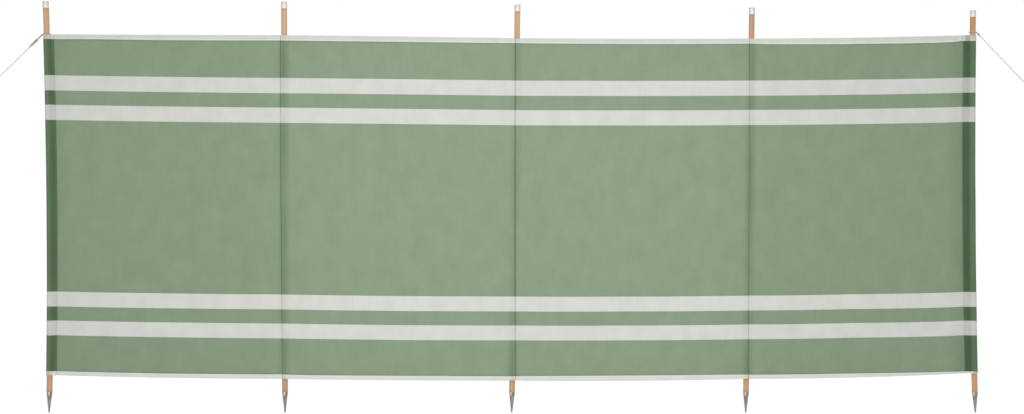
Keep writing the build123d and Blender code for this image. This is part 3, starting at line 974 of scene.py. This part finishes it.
cord_radius = 0.00145
cord_lay = 0.0095
cord_step = 0.0009
turn_reach = 0.0133  # from the pole's middle to where the level turn round it begins
turn_radius = 0.0123
strand_offset = 0.0026
guy_foot = 0.166  # from the peg's point up to the line
runner_length = 0.031
runner_from = {"left": 0.048, "right": 0.210}  # from the pole's middle, and from the peg
peg_turn = 0.0043
stopper_front = 0.0035
tail_front = 0.0033
bind_turns, bind_length = 3, 0.0108
stopper_turns, stopper_length = 2, 0.0060
knot_gap = 0.0003  # from the eye or the runner to the knot at it
knot_depth, knot_width, stopper_depth = 0.0047, 0.0025, 0.0025  # of a coil's turns, from its middle
cord_strands, cord_sides = 3, 12
darkened_to = {"left": 0.046, "right": 0.019}  # from the pole's middle
stopper_reach = 0.0070  # from the runner to the cord's end
knot_from = {"left": 0.036, "right": 0.026}  # from the peg, and from the pole's middle
eye_taper = {"left": 0.020, "right": 0.014}  # where the line comes back to its middle, before that knot
tail_start = {"left": -0.0015, "right": 0.0}  # of the knot's short tail, beyond it


def run_through(points):
    """A smooth line through a route, as points read from its spline."""
    route = bpy.data.curves.new("route", "CURVE")
    route.dimensions = "3D"
    spline = route.splines.new("NURBS")
    spline.points.add(len(points) - 1)
    for point, place in zip(spline.points, points):
        point.co = (*place, 1.0)
    spline.order_u = 3
    spline.use_endpoint_u = True
    spline.resolution_u = 24
    holder = add_object("route", route)
    bpy.context.view_layer.update()
    made = bpy.data.meshes.new_from_object(holder)
    line = [v.co.copy() for v in made.vertices]
    bpy.data.objects.remove(holder)
    bpy.data.meshes.remove(made)
    return line


def add_cord(name, routes, shade):
    """Three strands laid together, one closed tube along each route. shade(point) is stored for its colour."""
    corners, faces = [], []
    for route in routes:
        places = even_points(run_through(route), cord_step)
        first, side = len(corners), (places[1] - places[0]).orthogonal().normalized()
        for k, place in enumerate(places):
            ahead = (places[min(k + 1, len(places) - 1)] - places[max(k - 1, 0)]).normalized()
            side = (side - ahead * side.dot(ahead)).normalized()
            across = ahead.cross(side)
            near_end = min(k, len(places) - 1 - k, 2)
            size = cord_radius * (0.55, 0.9, 1)[near_end]
            for step in range(cord_sides):
                turn = tau * step / cord_sides
                lobe = 0.84 + 0.16 * abs(cos(cord_strands / 2 * (turn - tau * k * cord_step / cord_lay)))
                corners.append(place + (side * cos(turn) + across * sin(turn)) * size * lobe)
        rings = [range(k, k + cord_sides) for k in range(first, len(corners), cord_sides)]
        for ring, after in zip(rings, rings[1:]):
            faces += [(ring[k - 1], ring[k], after[k], after[k - 1]) for k in range(cord_sides)]
        faces += [tuple(reversed(rings[0])), tuple(rings[-1])]
    cord = add_mesh(name, corners, faces)
    cord.data.shade_smooth()
    mark(cord, "soiled", shade)
    cord.data.materials.append(laid_cord)
    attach(cord, "root")
    return cord


laid_cord, shader = start_finish("laid_cord", Roughness=0.85, Sheen_Weight=0.15)
place, soiled = in_space(shader), marked(shader, "soiled")
fibres = noise_at(place, (1600, 1600, 1600), 2, 0.6)
patches = noise_at(place, (60, 60, 60), 2, 0.6)
cotton = ramp(patches, ((0.35, (196, 199, 188)), (0.65, (216, 218, 209))))
cotton = blend(between(soiled, 0.0, 0.5), cotton, (206, 166, 116))
cotton = blend(between(soiled, 0.5, 1.0), cotton, (116, 102, 66))
hairs = ramp(fibres, ((0.3, (0.45, 0.43, 0.38, 1)), (0.7, (1, 1, 1, 1))))
cover(shader, blend(0.3, cotton, hairs, "MULTIPLY"), fibres, 0.00015)


def octagon(radius, turn):
    """The corner at a turn, in degrees, of the octagon that a round of this radius just fits in."""
    reach = radius / cos(radians(22.5))
    return reach * cos(radians(turn)), reach * sin(radians(turn))


for side, end_name in ((-1, "left"), (1, "right")):
    i = 0 if side < 0 else last
    peg = mount(f"{end_name}_peg_point")
    foot = Vector(peg["pos_m"]) - Vector(peg["axis"]) * guy_foot
    turn_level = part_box(f"guy_line_{end_name}")[1].z - 0.0015
    pole_middle = Vector((pole_x(i, turn_level), 0, turn_level))
    begins = pole_middle + Vector((side * turn_reach, 0, 0))
    down = (foot - begins).normalized()
    pole_out = turn_reach / abs(down.x)  # along the line, from the pole's middle to the level turn
    span = (foot - begins).length + pole_out

    def on_line(gone, front):
        """A point of the line, from the pole's middle, and in front of it."""
        return begins + down * (gone - pole_out) + Vector((0, -front, 0))

    # Corners of the level turn round the pole, from its front strand to its back one.
    lead = atan2(strand_offset, turn_reach) + acos(turn_radius / hypot(turn_reach, strand_offset))
    quarter = [(turn_reach, strand_offset), (turn_radius * (1 - sin(lead)) / cos(lead), turn_radius)]
    quarter += [octagon(turn_radius, turn) for turn in (112.5, 157.5)]
    round_pole = [pole_middle + Vector((side * out, -front, 0)) for out, front in quarter]
    round_pole += [pole_middle + Vector((side * out, front, 0)) for out, front in reversed(quarter)]
    peg_corners = [octagon(peg_turn, turn) for turn in (-67.5, -22.5, 22.5, 67.5)]
    round_peg = [on_line(span + out, front) for out, front in peg_corners]
    # It turns back through the runner round one of them, and is tied in an eye round the other.
    if side < 0:
        turn, tied = round_pole, round_peg
        turn_at, near, eye = pole_out + 0.010, runner_from["left"], span - knot_from["left"]
        back = [(turn_at, -strand_offset)]
    else:
        turn, tied = round_peg[::-1], round_pole[::-1]
        turn_at, near, eye = span - 0.020, span - runner_from["right"], knot_from["right"]
        back = [(turn_at, -strand_offset), (near, -strand_offset), (near - runner_length, -strand_offset)]
    far = near - side * runner_length
    there = [(far - side * stopper_reach, stopper_front), *((gone, strand_offset) for gone in (far, near, turn_at))]
    back += [(eye + side * eye_taper[end_name], 0), (eye, 0)]
    tail = [(eye + side * gone, tail_front) for gone in (tail_start[end_name], 0.010, 0.020)]
    there, back, tail = ([on_line(*place) for place in run] for run in (there, back, tail))
    route = [*there, *turn, *back, *tied, *tail]

    def darkened_share(point):
        """How dark the cord is drawn: most a little out from the pole, fading further along, and yellow where it lies
        against the pole.
        """
        reach = (point - pole_middle).length
        return ease(1.25 - reach / darkened_to[end_name]) * (0.5 + 0.5 * ease((reach - turn_radius - 0.001) / 0.003))

    cord = add_cord(f"guy_cord_{end_name}", [route], darkened_share)
    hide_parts(f"guy_line_{end_name}")
    coils = []
    for start, way, length, spare, turns, front, depth in (
        (eye, side, bind_length, cord_radius, bind_turns, tail_front / 2, knot_depth),
        (far, -side, stopper_length, 0.0013, stopper_turns, stopper_front, stopper_depth),
    ):
        start = min(start + way * knot_gap, start + way * (knot_gap + length)) + spare
        coils.append([
            on_line(start + (length - 2 * spare) * k / (8 * turns), front + depth * cos(tau * k / 8))
            + Vector((-down.z, 0, down.x)) * knot_width * sin(tau * k / 8)
            for k in range(8 * turns + 1)
        ])
    knots = add_cord(f"knots_{end_name}", coils, darkened_share)
    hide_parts(f"guy_knots_{end_name}")

# ---------------- runners
# A flat toggle of olive-stained beech with two holes along it. It slides to tighten the line, and the pull
# of the two strands jams it. The imported shape stays. The left runner is drawn paler at its upper end.

stained_beech, shader = start_finish("stained_beech", Roughness=0.45, Coat_Weight=0.3, Coat_Roughness=0.3)
place = in_space(shader)
grain = put("Mapping", {"Vector": place, "Rotation": (0, radians(45.2), 0)}).outputs["Vector"]
grain = noise_at(grain, (60, 600, 600), 3, 0.6)
wear = ramp(noise_at(place, (90, 90, 90), 3, 0.6), ((0.5, (0, 0, 0, 1)), (0.8, (1, 1, 1, 1))))
paler_top = sum_of(between(axis(place, "Z"), 1.352, 1.334), 0.8, "MULTIPLY")
tint = ramp(grain, ((0.35, (104, 99, 66)), (0.65, (136, 130, 94))))
tint = blend(paler_top, tint, (200, 187, 134))
tint = blend(wear, tint, (170, 162, 124))
cover(shader, tint, grain, 0.0001)
for end_name in ("left", "right"):
    finish_node(f"guy_runner_{end_name}", stained_beech)

# ---------------- pegs
# Steel wire, pointed at one end and bent into a hook at the other, and galvanised. Each peg leans away from
# the windbreak, and holds the line just under its hook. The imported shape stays.

galvanised = scuffed_steel("galvanised_wire", (178, 180, 181), (142, 144, 146))
for end_name in ("left", "right"):
    finish_node(f"guy_peg_{end_name}", galvanised)

# ---------------- floor, light and camera
# A plain pale floor and background, soft daylight from all round, and a viewpoint a little left of centre.


def background(node, below, above):
    """Joins two shaders at an output node, the second for the rays that show a plain background.

    Those are the camera's own, and those off gloss and through glass.
    """
    rays = put("LightPath", {}, node).outputs
    seen = sum_of(rays["Is Camera Ray"], rays["Is Glossy Ray"], "MAXIMUM")
    seen = sum_of(seen, rays["Is Transmission Ray"], "MAXIMUM")
    feed(node, {"Surface": put("MixShader", {0: seen, 1: below, 2: above}).outputs[0]})


floor_gap = 0.0005  # below the spikes' points
bpy.ops.object.select_all(action="DESELECT")
bpy.ops.mesh.primitive_plane_add(size=60.0, location=(0, 0, -floor_gap))
floor = bpy.context.object
floor.name = "floor"
floor_finish, shader = start_finish("pale_floor", Roughness=1.0, Base_Color=(0.8, 0.8, 0.8, 1))
pale = put("BsdfDiffuse", {"Color": (0.3, 0.3, 0.3, 1)}, shader).outputs[0]
glow = put("Emission", {"Color": (1, 1, 1, 1), "Strength": 0.86}, shader).outputs[0]
white = put("AddShader", {0: pale, 1: glow}).outputs[0]
background(floor_finish.node_tree.nodes["Material Output"], shader.outputs[0], white)
floor.data.materials.append(floor_finish)

sky = bpy.data.worlds.new("daylight")
bpy.context.scene.world = sky
sky.use_nodes = True
sky_output = sky.node_tree.nodes["World Output"]
soft, white = (
    put("Background", {"Color": (1, 1, 1, 1), "Strength": strength}, sky_output).outputs[0]
    for strength in (0.60, 1.0)
)
background(sky_output, soft, white)

lamp = bpy.data.lights.new("window_light", "AREA")
lamp.shape, lamp.size, lamp.size_y, lamp.energy = "RECTANGLE", 3.8, 1.4, 54.0
lamp_place, lamp_target = Vector((-0.05, -3.3, 1.15)), Vector((-0.05, 0, 0.75))
window = add_object("window_light", lamp)
window.location = lamp_place
window.rotation_euler = (lamp_target - lamp_place).to_track_quat("-Z", "Y").to_euler()

view_distance, view_lens = 5.0, 47.767
view_turn = radians(2.4)  # from straight ahead, towards the right-hand end
view_roll = radians(0.3632)
view_target = Vector((-0.0037, 0.0, 0.7563))
ahead = Vector((sin(view_turn), cos(view_turn), 0.0))
level = Vector((cos(view_turn), -sin(view_turn), 0.0))
right = level * cos(view_roll) + Vector((0, 0, 1)) * sin(view_roll)
up = right.cross(ahead)
camera = add_object("camera", bpy.data.cameras.new("camera"))
camera.matrix_world = Matrix.Translation(view_target - ahead * view_distance) @ Matrix(
    (right, up, -ahead)
).transposed().to_4x4()
camera.data.lens = view_lens
bpy.context.scene.camera = camera
bpy.context.scene.view_settings.view_transform = "Standard"
